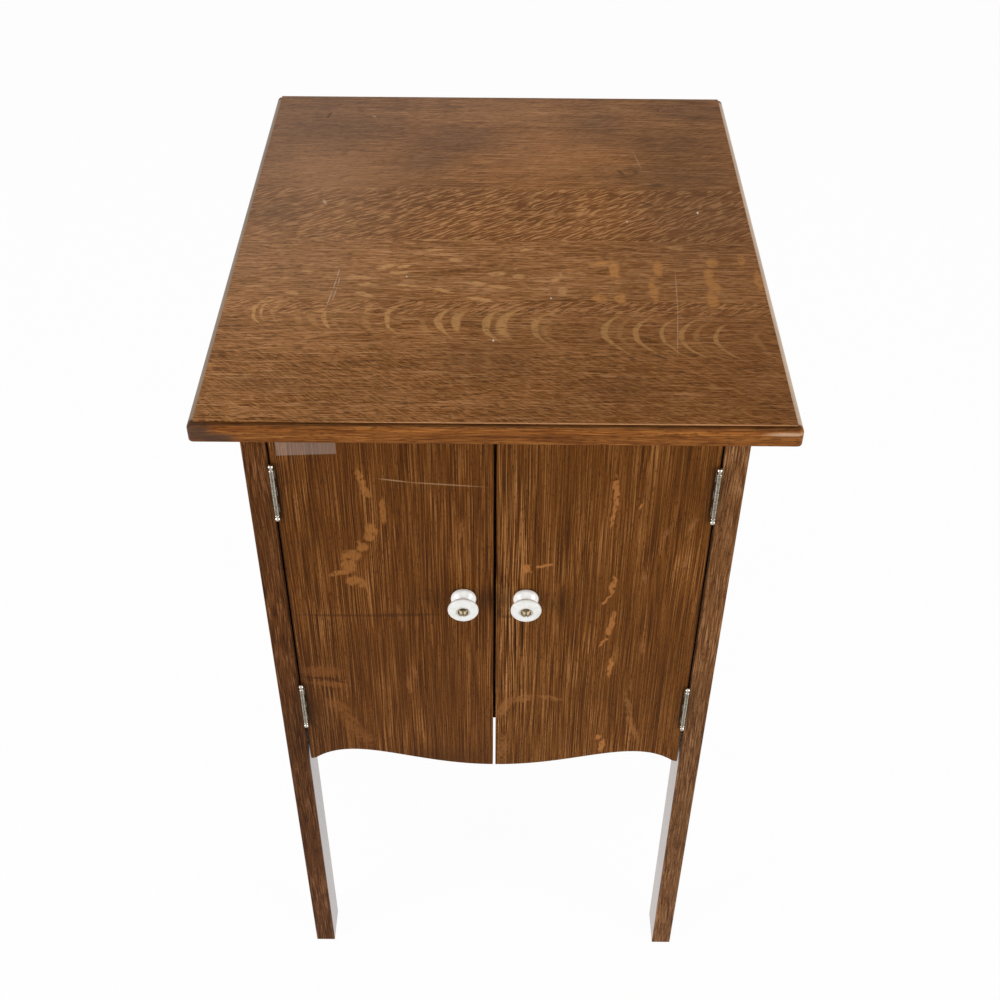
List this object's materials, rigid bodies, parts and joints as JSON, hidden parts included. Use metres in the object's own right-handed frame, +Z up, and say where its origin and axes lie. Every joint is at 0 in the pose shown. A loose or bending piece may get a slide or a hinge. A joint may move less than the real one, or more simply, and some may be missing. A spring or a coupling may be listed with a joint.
{
  "type": "gramophone record cabinet",
  "caption": "Oak cabinet on straight legs with a moulded top, shaped hinged doors, porcelain knobs and upright record partitions; a table gramophone stands on it.",
  "frame": {"origin": "on the floor, under the middle of the top board's outline", "axes": "+Z up, the doors face -Y, +X to the right of someone who looks at the doors"},
  "size_m": [0.502, 0.593, 0.838],
  "materials": {
    "oak_top": "waxed quarter-sawn oak, worn and a little greyed",
    "oak": "satin stained quarter-sawn oak",
    "inside_wood": "bare, darkened with age",
    "porcelain": "glazed white porcelain",
    "nickel": "worn nickel plate",
    "brass": "tarnished brass",
    "steel": "dull steel"
  },
  "bodies": {
    "cabinet": {"top_board": "oak_top", "front_leg_left": "oak", "front_leg_right": "oak", "rear_leg_left": "oak", "rear_leg_right": "oak", "side_top_rail_left": "oak", "side_top_rail_right": "oak", "side_bottom_rail_left": "oak", "side_bottom_rail_right": "oak", "side_panel_left": "oak", "side_panel_right": "oak", "back_top_rail": "oak", "back_bottom_rail": "oak", "back_panel": "oak", "front_top_rail": "inside_wood", "bottom_board": "inside_wood", "partition_head_board": "inside_wood", "record_partition_1": "inside_wood", "record_partition_2": "inside_wood", "record_partition_3": "inside_wood", "record_partition_4": "inside_wood", "record_partition_5": "inside_wood", "lower_cleat_left": "inside_wood", "lower_cleat_right": "inside_wood", "upper_cleat_left": "inside_wood", "upper_cleat_right": "inside_wood", "top_screw_front_left": "steel", "top_screw_front_right": "steel", "top_screw_back_left": "steel", "top_screw_back_right": "steel", "hinge_frame_leaf_upper_left": "nickel", "hinge_frame_leaf_lower_left": "nickel", "hinge_frame_leaf_upper_right": "nickel", "hinge_frame_leaf_lower_right": "nickel", "hinge_pin_upper_left": "nickel", "hinge_pin_lower_left": "nickel", "hinge_pin_upper_right": "nickel", "hinge_pin_lower_right": "nickel"},
    "left_door": {"door_left": "oak", "hinge_door_leaf_upper_left": "nickel", "hinge_door_leaf_lower_left": "nickel", "knob_left": "porcelain", "knob_bolt_left": "brass", "knob_washer_left": "steel", "knob_nut_left": "steel"},
    "right_door": {"door_right": "oak", "hinge_door_leaf_upper_right": "nickel", "hinge_door_leaf_lower_right": "nickel", "knob_right": "porcelain", "knob_bolt_right": "brass", "knob_washer_right": "steel", "knob_nut_right": "steel"}
  },
  "joints": [
    {"name": "left_door_hinge", "type": "hinge", "parent": "cabinet", "child": "left_door", "pos_m": [-0.19285, -0.2655, 0.5932], "axis": [0, 0, -1], "range_deg": [0, 180]},
    {"name": "right_door_hinge", "type": "hinge", "parent": "cabinet", "child": "right_door", "pos_m": [0.19285, -0.2655, 0.5932], "axis": [0, 0, 1], "range_deg": [0, 180]}
  ]
}
